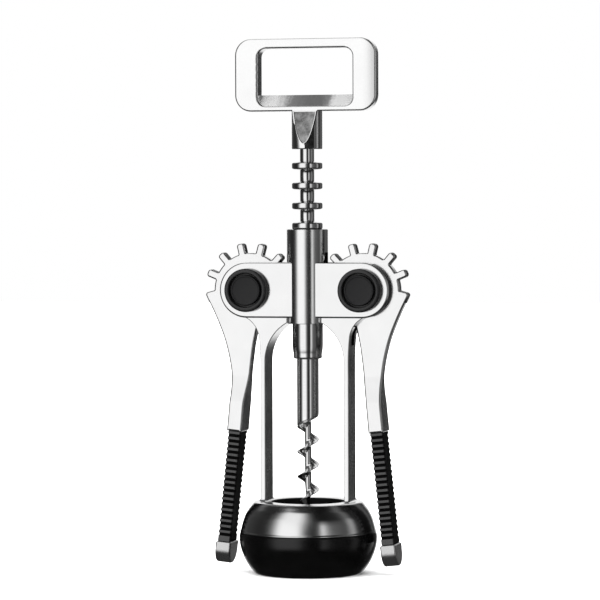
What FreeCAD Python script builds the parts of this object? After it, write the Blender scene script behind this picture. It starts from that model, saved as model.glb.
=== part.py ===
import FreeCAD, Part
import math
import os
import Sketcher
from FreeCAD import Placement, Rotation, Vector

# Wing corkscrew, standing on its base ring.
# Origin: centre of the base ring's lower face. +X to the right wing, +Y to the
# back, +Z up along the worm. Millimetres.

doc = FreeCAD.newDocument("WingCorkscrew")
sheet = doc.addObject("Spreadsheet::Sheet", "Params")

TABLE = [
    # opener handle
    ("handle_half_width", 25.4), ("handle_low_z", 162.1), ("handle_top_z", 187.5),
    ("handle_thick", 5.8), ("handle_corner", 5.8),
    ("window_half_width", 17.0), ("window_low_z", 167.9), ("window_top_z", 184.4),
    ("window_corner", 2.9), ("lip_front_z", 163.8),
    ("stem_rad", 5.4), ("stem_low_z", 148.8), ("stem_bore_rad", 2.55),
    ("tongue_top_z", 162.5), ("tongue_low_z", 150.3),
    # toothed shaft
    ("core_rad", 2.5), ("ring_rad", 5.4), ("ring_pitch", 7.0), ("ring_top_z", 142.98),
    ("ring_tip_half", 1.05), ("ring_root_half", 1.55), ("shaft_top_z", 159.0),
    ("collar_low_z", 75.4), ("collar_top_z", 95.03), ("collar_rad", 5.4),
    ("socket_rad", 2.6), ("socket_depth", 12.6),
    # worm
    ("shank_rad", 3.88), ("tenon_rad", 2.55), ("shank_low_z", 51.0),
    ("worm_rad", 3.85), ("worm_core_rad", 1.2), ("worm_pitch", 8.8), ("worm_tip_z", 23.1),
    ("pin_rad", 0.8), ("pin_z", 78.0),
    # yoke
    ("pivot_x", 20.35), ("pivot_z", 99.5),
    ("cheek_half_depth", 5.9), ("cheek_low_z", 89.8), ("cheek_top_z", 109.2), ("cheek_end_x", 30.4),
    ("post_half_depth", 5.4), ("post_out_x", 15.9), ("post_in_x", 14.1),
    ("barrel_rad", 7.25), ("barrel_low_z", 87.7), ("barrel_top_z", 120.8),
    ("barrel_bore_rad", 5.75), ("bush_seat_rad", 6.25), ("bush_seat_z", 113.3),
    ("gear_slot_half", 2.25), ("gear_slot_rad", 17.3), ("gear_slot_top_z", 112.7),
    ("gear_slot_low_z", 80.1), ("pivot_hole_rad", 3.02),
    ("bush_rad", 6.2), ("bush_bore_rad", 5.45), ("bush_low_z", 113.35), ("bush_top_z", 120.4),
    # bell and base ring
    ("bell_top_z", 25.6), ("throat_rad", 12.7), ("seam_z", 14.6), ("seam_rad", 24.0),
    ("base_rad", 24.2), ("base_flat_rad", 18.3), ("bottle_rad", 15.0), ("bottle_stop_z", 15.0),
    # pivots
    ("pivot_pin_rad", 3.0), ("pivot_pin_half", 7.25),
    ("flange_rad", 7.6), ("flange_groove_rad", 5.93), ("flange_height", 3.3),
    ("cap_rad", 5.34), ("cap_height", 3.1), ("flange_floor", 1.0),
    # levers, measured from the pivot
    ("gear_root_rad", 13.0), ("gear_tip_rad", 16.6), ("gear_teeth_full", 13.0),
    ("tooth_width", 2.7), ("first_tooth_deg", -7.99), ("teeth_cut", 7.0),
    ("gear_half", 2.0), ("lever_half_depth", 5.4), ("hub_bore_rad", 3.06),
    ("wing_slant_deg", 5.9), ("wing_end_out", 5.175), ("wing_end_down", 49.65),
    # grips and end caps, measured along the slanted wing
    ("grip_len", 39.3), ("grip_width", 4.45), ("grip_half_depth", 5.0),
    ("rib_pitch", 1.95), ("rib_gap", 0.72), ("rib_depth", 1.0), ("rib_count", 20.0),
    ("tang_width", 2.4), ("tang_half_depth", 3.2), ("tang_len", 43.6),
    ("shoe_len", 7.7), ("shoe_width", 5.5), ("shoe_half_depth", 5.5), ("shoe_slot_depth", 4.6),
    ("shoe_round", 5.2),
]


class Dim:
    """A length with its number and the sheet expression that gives it."""

    def __init__(self, value, text):
        self.v, self.t = float(value), text

    @staticmethod
    def of(x):
        return x if isinstance(x, Dim) else Dim(x, "%.6f" % x)

    def __add__(self, o):
        o = Dim.of(o)
        return Dim(self.v + o.v, "(%s + %s)" % (self.t, o.t))

    def __radd__(self, o):
        return Dim.of(o) + self

    def __sub__(self, o):
        o = Dim.of(o)
        return Dim(self.v - o.v, "(%s - %s)" % (self.t, o.t))

    def __rsub__(self, o):
        return Dim.of(o) - self

    def __mul__(self, o):
        o = Dim.of(o)
        return Dim(self.v * o.v, "(%s * %s)" % (self.t, o.t))

    def __rmul__(self, o):
        return Dim.of(o) * self

    def __truediv__(self, o):
        o = Dim.of(o)
        return Dim(self.v / o.v, "(%s / %s)" % (self.t, o.t))

    def __rtruediv__(self, o):
        return Dim.of(o) / self

    def __neg__(self):
        return Dim(-self.v, "(0 - %s)" % self.t)


D = {}
for row, (alias, number) in enumerate(TABLE, start=1):
    sheet.set("A%d" % row, alias)
    sheet.set("B%d" % row, "%s" % number)
    sheet.setAlias("B%d" % row, alias)
    D[alias] = Dim(number, "Params." + alias)
doc.recompute()
V = {k: d.v for k, d in D.items()}

PARTS = []


def bind(obj, prop, dim):
    dim = Dim.of(dim)
    setattr(obj, prop, dim.v)
    if "Params" in dim.t:
        obj.setExpression(prop, dim.t)


def place(obj, base=(0, 0, 0), rotation=None):
    obj.Placement = Placement(Vector(*[Dim.of(c).v for c in base]), rotation or Rotation())
    for axis, c in zip("xyz", base):
        c = Dim.of(c)
        if "Params" in c.t:
            obj.setExpression("Placement.Base." + axis, c.t)


def new_body(name):
    body = doc.addObject("PartDesign::Body", name)
    body.Label = name
    PARTS.append(body)
    return body


def origin(body, role):
    for f in body.Origin.OriginFeatures:
        if f.Role == role:
            return f
    raise ValueError(role)


def circle_through(p, m, q):
    ax, ay, bx, by, cx, cy = p[0], p[1], m[0], m[1], q[0], q[1]
    d = 2 * (ax * (by - cy) + bx * (cy - ay) + cx * (ay - by))
    ux = ((ax * ax + ay * ay) * (by - cy) + (bx * bx + by * by) * (cy - ay) + (cx * cx + cy * cy) * (ay - by)) / d
    uy = ((ax * ax + ay * ay) * (cx - bx) + (bx * bx + by * by) * (ax - cx) + (cx * cx + cy * cy) * (bx - ax)) / d
    return ux, uy, math.hypot(ax - ux, ay - uy)


def sketch(body, name, role, loops, offset=0.0):
    """Loops of (x, y) corners; a third entry (mx, my) makes the side that ends
    at that corner an arc through (mx, my). ("circle", x, y, r) is a circle."""
    sk = body.newObject("Sketcher::SketchObject", name)
    sk.AttachmentSupport = (origin(body, role), [""])
    sk.MapMode = "FlatFace"
    off = Dim.of(offset)
    sk.AttachmentOffset = Placement(Vector(0, 0, off.v), Rotation())
    if "Params" in off.t:
        sk.setExpression("AttachmentOffset.Base.z", off.t)

    def fix(kind, geo, pos, dim):
        k = sk.addConstraint(Sketcher.Constraint(kind, -1, 1, geo, pos, dim.v))
        if "Params" in dim.t:
            sk.setExpression("Constraints[%d]" % k, dim.t)

    for loop in loops:
        if loop[0] == "circle":
            x, y, r = (Dim.of(c) for c in loop[1:])
            g = sk.addGeometry(Part.Circle(Vector(x.v, y.v, 0), Vector(0, 0, 1), r.v), False)
            fix("DistanceX", g, 3, x)
            fix("DistanceY", g, 3, y)
            k = sk.addConstraint(Sketcher.Constraint("Radius", g, r.v))
            if "Params" in r.t:
                sk.setExpression("Constraints[%d]" % k, r.t)
            continue
        pts = [(Dim.of(c[0]), Dim.of(c[1])) for c in loop]
        n = len(pts)
        ends = []
        for i in range(n):
            a, b = pts[i], pts[(i + 1) % n]
            through = loop[(i + 1) % n][2] if len(loop[(i + 1) % n]) > 2 else None
            pa, pb = (a[0].v, a[1].v), (b[0].v, b[1].v)
            if through is None:
                g = sk.addGeometry(Part.LineSegment(Vector(pa[0], pa[1], 0), Vector(pb[0], pb[1], 0)), False)
                ends.append((g, 1, 2))
            else:
                m = (Dim.of(through[0]).v, Dim.of(through[1]).v)
                ux, uy, r = circle_through(pa, m, pb)
                ta, tm, tb = (math.atan2(p[1] - uy, p[0] - ux) for p in (pa, m, pb))
                ccw = (tm - ta) % (2 * math.pi) < (tb - ta) % (2 * math.pi)
                base = Part.Circle(Vector(ux, uy, 0), Vector(0, 0, 1), r)
                if ccw:
                    g = sk.addGeometry(Part.ArcOfCircle(base, ta, tb), False)
                    ends.append((g, 1, 2))
                else:
                    g = sk.addGeometry(Part.ArcOfCircle(base, tb, ta), False)
                    ends.append((g, 2, 1))
                sk.addConstraint(Sketcher.Constraint("Radius", g, r))
        for i in range(n):
            g, s, e = ends[i]
            g2, s2, e2 = ends[(i + 1) % n]
            sk.addConstraint(Sketcher.Constraint("Coincident", g, e, g2, s2))
            fix("DistanceX", g, s, pts[i][0])
            fix("DistanceY", g, s, pts[i][1])
    doc.recompute()
    if sk.solve() != 0 or "Invalid" in sk.State:
        raise RuntimeError("sketch %s does not solve" % name)
    return sk


def pad(body, name, sk, length, symmetric=False, reverse=False):
    f = body.newObject("PartDesign::Pad", name)
    f.Profile = sk
    f.SideType = "Symmetric" if symmetric else "One side"
    bind(f, "Length", length)
    f.Reversed = reverse
    doc.recompute()
    body.Tip = f
    return f


def pocket(body, name, sk, length, symmetric=False, reverse=False):
    before = body.Shape.Volume
    f = body.newObject("PartDesign::Pocket", name)
    f.Profile = sk
    f.SideType = "Symmetric" if symmetric else "One side"
    bind(f, "Length", length)
    f.Reversed = reverse
    doc.recompute()
    body.Tip = f
    if body.Shape.Volume > before - 0.05:
        raise RuntimeError("%s cut nothing: %s %s" % (name, f.State, body.Shape.Volume - before))
    return f


def revolve(body, name, sk):
    f = body.newObject("PartDesign::Revolution", name)
    f.Profile = sk
    f.ReferenceAxis = (sk, ["V_Axis"])
    f.Angle = 360.0
    doc.recompute()
    body.Tip = f
    return f


def soften(body, name, radius, wanted, kind="PartDesign::Fillet"):
    """Round the edges of the body's tip that wanted() picks by their middle."""
    tip = body.Tip
    picks = []
    for i, e in enumerate(tip.Shape.Edges, start=1):
        mid = e.valueAt((e.FirstParameter + e.LastParameter) / 2)
        if wanted(e, mid):
            picks.append("Edge%d" % i)
    f = body.newObject(kind, name)
    f.Base = (tip, picks)
    bind(f, "Radius" if kind.endswith("Fillet") else "Size", radius)
    doc.recompute()
    body.Tip = f
    if f.Shape.isNull() or not f.Shape.isValid():
        raise RuntimeError("%s is not a valid solid (%d edges)" % (name, len(picks)))
    return f


def mirrored(loop):
    out = []
    for p in loop:
        q = [-Dim.of(p[0]) if isinstance(p[0], Dim) else -p[0], p[1]]
        if len(p) > 2:
            q.append((-p[2][0], p[2][1]))
        out.append(tuple(q))
    return out


def round_rect(x, z0, z1, r):
    """Rounded rectangle, half width x, from z0 to z1."""
    k = 1 - math.sqrt(0.5)
    x, z0, z1, r = (Dim.of(c) for c in (x, z0, z1, r))
    return [
        (x, z0 + r, ((x - r * k), (z0 + r * k))), (x, z1 - r),
        (x - r, z1, ((x - r * k), (z1 - r * k))), (r - x, z1),
        (-x, z1 - r, ((r * k - x), (z1 - r * k))), (-x, z0 + r),
        (r - x, z0, ((r * k - x), (z0 + r * k))), (x - r, z0),
    ]


# --- opener handle: flat rounded frame with a sloped cap edge, and its stem
handle = new_body("opener_handle")
pad(handle, "handle_plate",
    sketch(handle, "handle_outline", "XZ_Plane", [
        round_rect(D["handle_half_width"], D["handle_low_z"], D["handle_top_z"], D["handle_corner"]),
        round_rect(D["window_half_width"], D["lip_front_z"], D["window_top_z"], D["window_corner"])]),
    D["handle_thick"], symmetric=True)
half_t = D["handle_thick"] / 2


def window_edge(m):
    return (abs(m.x) < V["window_half_width"] + 0.01 and m.z < V["window_top_z"] + 0.01 and
            m.z > V["lip_front_z"] - 0.01)


soften(handle, "handle_edges", 0.9,
       lambda e, m: abs(abs(m.y) - V["handle_thick"] / 2) < 1e-3 and not window_edge(m))
soften(handle, "window_edges", 0.5,
       lambda e, m: abs(abs(m.y) - V["handle_thick"] / 2) < 1e-3 and window_edge(m))
# the cap edge: a sill in the window that rises from the front face to the back
pad(handle, "cap_edge",
    sketch(handle, "cap_edge_profile", "YZ_Plane", [[
        (-half_t + 0.5, D["lip_front_z"] - 0.8), (-half_t + 0.5, D["lip_front_z"]), (half_t - 0.8, D["window_low_z"]),
        (half_t - 0.3, D["window_low_z"] - 0.25), (half_t - 0.3, D["lip_front_z"] - 0.8)]]),
    D["window_half_width"] * 2 + 0.5, symmetric=True)
pad(handle, "stem",
    sketch(handle, "stem_section", "XY_Plane", [("circle", 0, 0, D["stem_rad"])], D["stem_low_z"]),
    D["tongue_top_z"] - D["stem_low_z"] + 0.6)
# flat facets, front and back, run from the plate's faces down to a point on the stem
slope = (D["stem_rad"] - half_t) / (D["tongue_top_z"] - D["tongue_low_z"])
wedge = [(-half_t, D["tongue_top_z"]), (-half_t, D["tongue_top_z"] + 1.0),
         (-half_t - 4.0, D["tongue_top_z"] + 1.0), (-half_t - 4.0, D["tongue_top_z"] - 4.0 / slope)]
pocket(handle, "stem_facets",
       sketch(handle, "stem_facet_profile", "YZ_Plane", [wedge, mirrored(wedge)]),
       D["stem_rad"] * 2 + 1.0, symmetric=True)
pocket(handle, "stem_bore",
       sketch(handle, "stem_bore_section", "XY_Plane", [("circle", 0, 0, D["stem_bore_rad"])], D["stem_low_z"]),
       D["shaft_top_z"] - D["stem_low_z"], reverse=True)
soften(handle, "stem_mouth", 0.4,
       lambda e, m: abs(m.z - V["stem_low_z"]) < 1e-3 and e.BoundBox.XLength > 9)

# --- toothed shaft: ring teeth all round, a long collar below them
shaft = new_body("rack_shaft")
prof = [(D["socket_rad"], D["collar_low_z"]), (D["collar_rad"] - 1.0, D["collar_low_z"]),
        (D["collar_rad"] - 0.35, D["collar_low_z"] + 0.9, (D["collar_rad"] - 0.55, D["collar_low_z"] + 0.28)),
        (D["collar_rad"], D["collar_low_z"] + 4.4),
        (D["collar_rad"], D["collar_top_z"]), (D["core_rad"], D["collar_top_z"] + 0.5)]
for k in range(6, -1, -1):
    zc = D["ring_top_z"] - k * D["ring_pitch"]
    prof += [(D["core_rad"], zc - D["ring_root_half"]), (D["ring_rad"] - 0.15, zc - D["ring_tip_half"] - 0.03),
             (D["ring_rad"], zc - D["ring_tip_half"] + 0.15), (D["ring_rad"], zc + D["ring_tip_half"] - 0.15),
             (D["ring_rad"] - 0.15, zc + D["ring_tip_half"] + 0.03), (D["core_rad"], zc + D["ring_root_half"])]
prof += [(D["core_rad"], D["shaft_top_z"]), (0, D["shaft_top_z"]),
         (0, D["collar_low_z"] + D["socket_depth"]), (D["socket_rad"], D["collar_low_z"] + D["socket_depth"])]
revolve(shaft, "shaft_turned", sketch(shaft, "shaft_profile", "XZ_Plane", [prof]))

# --- guide bush in the barrel's mouth
bush = new_body("guide_bush")
revolve(bush, "bush_turned", sketch(bush, "bush_profile", "XZ_Plane", [[
    (D["bush_bore_rad"], D["bush_low_z"]), (D["bush_rad"], D["bush_low_z"]),
    (D["bush_rad"], D["bush_top_z"]), (D["bush_bore_rad"] + 0.25, D["bush_top_z"]),
    (D["bush_bore_rad"], D["bush_top_z"] - 0.25)]]))

# --- yoke: barrel, cheeks, webs and posts in one casting
yoke = new_body("yoke")
px, pz = D["pivot_x"], D["pivot_z"]
cx_ = D["cheek_end_x"] - (D["cheek_top_z"] - D["cheek_low_z"]) / 2
er = V["cheek_end_x"] - cx_.v
ek = er * math.sqrt(0.5)
cheek = [(D["cheek_end_x"], pz), (cx_, D["cheek_top_z"], (cx_.v + ek, V["pivot_z"] + ek)),
         (-cx_, D["cheek_top_z"]), (-D["cheek_end_x"], pz, (-cx_.v - ek, V["pivot_z"] + ek)),
         (-cx_, D["cheek_low_z"], (-cx_.v - ek, V["pivot_z"] - ek)), (cx_, D["cheek_low_z"])]
cheek[0] = (D["cheek_end_x"], pz, (cx_.v + ek, V["pivot_z"] - ek))
pad(yoke, "cheeks", sketch(yoke, "cheek_outline", "XZ_Plane", [cheek]),
    D["cheek_half_depth"] * 2, symmetric=True)
soften(yoke, "cheek_edges", 0.45, lambda e, m: abs(abs(m.y) - V["cheek_half_depth"]) < 1e-3,
       "PartDesign::Chamfer")
leg = [(21.2, 90.6), (21.2, 89.9), (16.4, 83.5, (17.95, 87.1)),
       (D["post_out_x"], 75.2, (16.05, 79.3)), (D["post_out_x"], D["bell_top_z"]),
       (D["post_in_x"], D["bell_top_z"]), (D["post_in_x"], 74.8),
       (6.1, 88.1, (12.1, 82.15)), (6.1, 90.6)]
pad(yoke, "legs", sketch(yoke, "leg_outline", "XZ_Plane", [leg, mirrored(leg)]),
    D["post_half_depth"] * 2, symmetric=True)
foot = [(13.1, -6.6), (16.9, -6.6), (16.9, 6.6), (13.1, 6.6)]
pad(yoke, "feet", sketch(yoke, "foot_outline", "XY_Plane", [foot, mirrored(foot)], D["bell_top_z"]), 0.45)
pad(yoke, "barrel",
    sketch(yoke, "barrel_section", "XY_Plane", [("circle", 0, 0, D["barrel_rad"])], D["barrel_low_z"]),
    D["barrel_top_z"] - D["barrel_low_z"])
pocket(yoke, "barrel_bore",
       sketch(yoke, "barrel_bore_section", "XY_Plane", [("circle", 0, 0, D["barrel_bore_rad"])], D["barrel_low_z"] - 3.0),
       D["barrel_top_z"] - D["barrel_low_z"] + 6.0, reverse=True)
pocket(yoke, "bush_seat",
       sketch(yoke, "bush_seat_section", "XY_Plane", [("circle", 0, 0, D["bush_seat_rad"])], D["bush_seat_z"]),
       D["barrel_top_z"] - D["bush_seat_z"] + 1.0, reverse=True)
# slots for the gear sectors, down through the webs
slot_r = V["gear_slot_rad"]
drop = math.sqrt(slot_r ** 2 - (V["pivot_x"] - 15.0) ** 2)
slot = [(px - D["gear_slot_rad"], pz), (px - D["gear_slot_rad"], D["gear_slot_top_z"]),
        (34.0, D["gear_slot_top_z"]), (34.0, D["gear_slot_low_z"]), (15.0, D["gear_slot_low_z"]),
        (15.0, V["pivot_z"] - drop)]
slot[0] = (px - D["gear_slot_rad"], pz,
           (V["pivot_x"] + slot_r * math.cos(math.radians(216)), V["pivot_z"] + slot_r * math.sin(math.radians(216))))
pocket(yoke, "gear_slots", sketch(yoke, "gear_slot_outline", "XZ_Plane", [slot, mirrored(slot)]),
       D["gear_slot_half"] * 2, symmetric=True)
pocket(yoke, "pivot_holes",
       sketch(yoke, "pivot_hole_section", "XZ_Plane",
              [("circle", px, pz, D["pivot_hole_rad"]), ("circle", -px, pz, D["pivot_hole_rad"])]),
       D["cheek_half_depth"] * 2 + 2.0, symmetric=True)
soften(yoke, "barrel_mouth", 0.3,
       lambda e, m: abs(m.z - V["barrel_top_z"]) < 1e-3)

# --- bell: metal ring over the bottle neck
bell = new_body("bell")
revolve(bell, "bell_turned", sketch(bell, "bell_profile", "XZ_Plane", [[
    (D["throat_rad"], 22.3), (D["throat_rad"], D["bell_top_z"] - 0.8),
    (D["throat_rad"] + 0.8, D["bell_top_z"], (D["throat_rad"] + 0.234, D["bell_top_z"] - 0.234)),
    (17.9, D["bell_top_z"]), (19.3, 24.85, (18.68, 25.38)),
    (22.05, 20.8, (20.85, 22.9)), (D["seam_rad"], D["seam_z"], (23.2, 17.75)),
    (21.0, D["seam_z"]), (20.0, 18.5), (18.2, 22.3)]]))

# --- base ring: black ring with the bottle-neck socket
base = new_body("base_ring")
revolve(base, "base_turned", sketch(base, "base_profile", "XZ_Plane", [[
    (D["bottle_rad"] + 0.9, 0), (D["base_flat_rad"], 0), (19.9, 1.4, (19.25, 0.5)),
    (D["base_rad"] - 0.25, 9.8, (22.55, 5.3)), (D["seam_rad"] + 0.1, D["seam_z"], (D["base_rad"], 12.6)),
    (20.9, D["seam_z"]), (19.9, 18.5), (18.1, 22.2), (D["throat_rad"], 22.2),
    (D["throat_rad"], D["bottle_stop_z"]), (D["bottle_rad"], D["bottle_stop_z"]), (D["bottle_rad"], 1.1)]]))

# --- pivots: pin through the cheeks, black flange and cap on each end
for side, s in (("left", -1), ("right", 1)):
    pin = doc.addObject("Part::Cylinder", side + "_pivot_pin")
    pin.Label = side + "_pivot_pin"
    bind(pin, "Radius", D["pivot_pin_rad"])
    bind(pin, "Height", D["pivot_pin_half"] * 2)
    place(pin, (px * s, -D["pivot_pin_half"], pz), Rotation(Vector(1, 0, 0), -90))
    PARTS.append(pin)
    for face, turn, ysign in (("front", 90, -1), ("back", -90, 1)):
        fl = new_body("%s_%s_pivot_flange" % (face, side))
        fr, gr, fh, ff = D["flange_rad"], D["flange_groove_rad"], D["flange_height"], D["flange_floor"]
        revolve(fl, fl.Name + "_turned", sketch(fl, fl.Name + "_profile", "XZ_Plane", [[
            (D["pivot_pin_rad"] + 0.05, 0), (fr - 0.25, 0), (fr, 0.25), (fr, fh - 0.9),
            (fr - 0.9, fh, (fr - 0.264, fh - 0.264)), (gr + 0.3, fh), (gr, fh - 0.3, (gr + 0.088, fh - 0.088)),
            (gr, ff), (D["pivot_pin_rad"] + 0.05, ff)]]))
        place(fl, (px * s, D["cheek_half_depth"] * ysign, pz), Rotation(Vector(1, 0, 0), turn))
        cap = new_body("%s_%s_pivot_cap" % (face, side))
        cr, ch = D["cap_rad"], D["cap_height"]
        end = D["pivot_pin_half"] - D["cheek_half_depth"] + 0.05
        revolve(cap, cap.Name + "_turned", sketch(cap, cap.Name + "_profile", "XZ_Plane", [[
            (D["pivot_pin_rad"] + 0.05, ff), (cr, ff), (cr, ch - 0.35), (cr - 0.35, ch, (cr - 0.103, ch - 0.103)),
            (0, ch - 0.3, (cr * 0.5, ch - 0.21)), (0, end), (D["pivot_pin_rad"] + 0.05, end)]]))
        place(cap, (px * s, D["cheek_half_depth"] * ysign, pz), Rotation(Vector(1, 0, 0), turn))

# --- levers: gear sector and hub, wing, tang; grips and end caps
slant = math.radians(V["wing_slant_deg"])
axis_o, axis_z = math.sin(slant), -math.cos(slant)          # down the wing
out_o, out_z = math.cos(slant), math.sin(slant)             # across it, outwards
eo, ez = V["wing_end_out"], -V["wing_end_down"]


def along(s_, across):
    """A point s_ down the wing from the shank's end and across it outwards."""
    return (eo + axis_o * s_ + out_o * across, ez + axis_z * s_ + out_z * across)


for side, s in (("left", -1), ("right", 1)):
    lever = new_body(side + "_lever")

    def flip(loop):
        return loop if s > 0 else mirrored(loop)

    pad(lever, side + "_gear_disc",
        sketch(lever, side + "_gear_root", "XZ_Plane", [("circle", 0, 0, D["gear_root_rad"])]),
        D["gear_half"] * 2, symmetric=True)
    # one parallel-sided tooth, repeated round the sector
    a0 = math.radians(V["first_tooth_deg"])

    def at(r, t):
        """A point r out from the pivot along the first tooth, t across it."""
        return (-math.cos(a0) * r + math.sin(a0) * t, math.sin(a0) * r + math.cos(a0) * t)

    w, rt = V["tooth_width"] / 2, V["gear_tip_rad"]
    tooth = [at(11.5, -w), at(rt - 0.62, -w) ,
             at(rt - 0.06, -w + 0.56) + (at(rt - 0.22, -w + 0.18),),
             at(rt - 0.06, w - 0.56) + (at(rt, 0),),
             at(rt - 0.62, w) + (at(rt - 0.22, w - 0.18),), at(11.5, w)]
    tip = pad(lever, side + "_tooth", sketch(lever, side + "_tooth_outline", "XZ_Plane", [flip(tooth)]),
              D["gear_half"] * 2, symmetric=True)
    ring = lever.newObject("PartDesign::PolarPattern", side + "_teeth")
    ring.Originals = [tip]
    ring.Axis = (origin(lever, "Y_Axis"), [""])
    ring.Reversed = s < 0
    bind(ring, "Angle", (D["teeth_cut"] - 1.0) * 360.0 / D["gear_teeth_full"])
    ring.Occurrences = int(V["teeth_cut"])
    doc.recompute()
    lever.Tip = ring
    arm = [(12.6, -0.03), (15.35, -0.78), (16.15, -1.95, (15.98, -1.15)),
           (9.9, -15.9, (13.1, -8.15)), (6.97, -29.0, (7.98, -22.9)),
           (6.95, -39.8, (6.66, -34.2)), along(0, 2.70), along(0, -2.70),
           (1.53, -39.5), (-0.55, -24.3, (0.36, -31.9)), (-2.35, -14.0, (-1.25, -19.2)),
           (-3.4, -10.8), (3.0, -4.0)]
    pad(lever, side + "_wing", sketch(lever, side + "_wing_outline", "XZ_Plane", [flip(arm)]),
        D["gear_half"] * 2, symmetric=True)
    # the shank below the gear plate widens to the grip's depth
    low = [(6.97, -29.0), (6.95, -39.8, (6.66, -34.2)), along(0, 2.70), along(0, -2.70),
           (1.53, -39.5), (-0.09, -29.0, (0.66, -34.0))]
    pad(lever, side + "_shank", sketch(lever, side + "_shank_outline", "XZ_Plane", [flip(low)]),
        D["lever_half_depth"] * 2, symmetric=True)
    g, dpt = D["gear_half"], D["lever_half_depth"]
    cut = [(g, -28.0), (g, -29.6), (dpt + 0.02, -39.8), (dpt + 1.0, -39.8), (dpt + 1.0, -28.0)]
    pocket(lever, side + "_shank_slopes",
           sketch(lever, side + "_slope_profile", "YZ_Plane", [cut, mirrored(cut)]), 60.0, symmetric=True)
    tang = [along(-3.0, V["tang_width"] / 2), along(V["tang_len"], V["tang_width"] / 2),
            along(V["tang_len"], -V["tang_width"] / 2), along(-3.0, -V["tang_width"] / 2)]
    pad(lever, side + "_tang", sketch(lever, side + "_tang_outline", "XZ_Plane", [flip(tang)]),
        D["tang_half_depth"] * 2, symmetric=True)
    pocket(lever, side + "_hub_bore",
           sketch(lever, side + "_hub_bore_section", "XZ_Plane", [("circle", 0, 0, D["hub_bore_rad"])]),
           D["gear_half"] * 2 + 1.0, symmetric=True)
    place(lever, (px * s, 0, pz))

    turn = Rotation(Vector(0, 1, 0), -V["wing_slant_deg"] * s)
    end_at = (px * s + D["wing_end_out"] * s, 0, pz - D["wing_end_down"])

    grip = new_body(side + "_grip")
    gw, gd, rd = D["grip_width"], D["grip_half_depth"], D["rib_depth"]
    pad(grip, side + "_grip_core",
        sketch(grip, side + "_grip_section", "XY_Plane", [[
            (gw / 2 - 0.6, -gd), (gw / 2, -gd + 0.6, (gw / 2 - 0.176, -gd + 0.176)),
            (gw / 2, gd - 0.6), (gw / 2 - 0.6, gd, (gw / 2 - 0.176, gd - 0.176)),
            (0.6 - gw / 2, gd), (-gw / 2, gd - 0.6, (0.176 - gw / 2, gd - 0.176)),
            (-gw / 2, -gd + 0.6), (0.6 - gw / 2, -gd, (0.176 - gw / 2, -gd + 0.176))]]),
        D["grip_len"], reverse=True)
    z0 = -(D["rib_pitch"] - D["rib_gap"])
    gap = [(-gd - 1.0, z0), (-gd + rd, z0), (-gd + rd, z0 - D["rib_gap"]), (-gd - 1.0, z0 - D["rib_gap"])]
    first = pocket(grip, side + "_rib_gap",
                   sketch(grip, side + "_rib_gap_profile", "YZ_Plane", [gap, mirrored(gap)]),
                   gw + 2.0, symmetric=True)
    rows = grip.newObject("PartDesign::LinearPattern", side + "_ribs")
    rows.Originals = [first]
    rows.Direction = (origin(grip, "Z_Axis"), [""])
    rows.Reversed = True
    rows.Occurrences = int(V["rib_count"]) - 1
    bind(rows, "Length", D["rib_pitch"] * (D["rib_count"] - 2.0))
    doc.recompute()
    grip.Tip = rows
    tw, td = D["tang_width"] / 2 + 0.05, D["tang_half_depth"] + 0.05
    pocket(grip, side + "_grip_slot",
           sketch(grip, side + "_grip_slot_section", "XY_Plane", [[(tw, -td), (tw, td), (-tw, td), (-tw, -td)]]),
           D["grip_len"] + 1.0)
    place(grip, end_at, turn)

    shoe = new_body(side + "_end_cap")
    top, low_, sd = -D["grip_len"], -D["grip_len"] - D["shoe_len"], D["shoe_half_depth"]
    sr, sk_ = D["shoe_round"], 1 - math.sqrt(0.5)
    pad(shoe, side + "_shoe_block",
        sketch(shoe, side + "_shoe_profile", "YZ_Plane", [[
            (-sd, top), (sd, top), (sd, low_ + sr), (sd - sr, low_, (sd - sr * sk_, low_ + sr * sk_)),
            (sr - sd, low_), (-sd, low_ + sr, (sr * sk_ - sd, low_ + sr * sk_))]]),
        D["shoe_width"], symmetric=True)
    soften(shoe, side + "_shoe_edges", 0.6,
           lambda e, m: abs(abs(m.x) - V["shoe_width"] / 2) < 1e-3)
    pocket(shoe, side + "_shoe_slot",
           sketch(shoe, side + "_shoe_slot_section", "XY_Plane",
                  [[(tw, -td), (tw, td), (-tw, td), (-tw, -td)]], top),
           D["shoe_slot_depth"])
    place(shoe, end_at, turn)

# --- worm: shank with a slanting run-out, and a right-hand helical flight
worm_top = D["collar_low_z"]
shank = doc.addObject("Part::Cylinder", "worm_shank")
bind(shank, "Radius", D["shank_rad"])
bind(shank, "Height", D["collar_low_z"] - D["shank_low_z"])
place(shank, (0, 0, D["shank_low_z"]))
tenon = doc.addObject("Part::Cylinder", "worm_tenon")
bind(tenon, "Radius", D["tenon_rad"])
bind(tenon, "Height", D["socket_depth"] - 0.1)
place(tenon, (0, 0, D["collar_low_z"]))
core = doc.addObject("Part::Cone", "worm_core")
bind(core, "Radius1", 0.5)
bind(core, "Radius2", D["worm_core_rad"])
bind(core, "Height", 8.0)
place(core, (0, 0, D["worm_tip_z"] + 4.0))
core_up = doc.addObject("Part::Cylinder", "worm_core_up")
bind(core_up, "Radius", D["worm_core_rad"])
bind(core_up, "Height", D["shank_low_z"] - D["worm_tip_z"] - 12.0 + 4.0)
place(core_up, (0, 0, D["worm_tip_z"] + 12.0))

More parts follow.
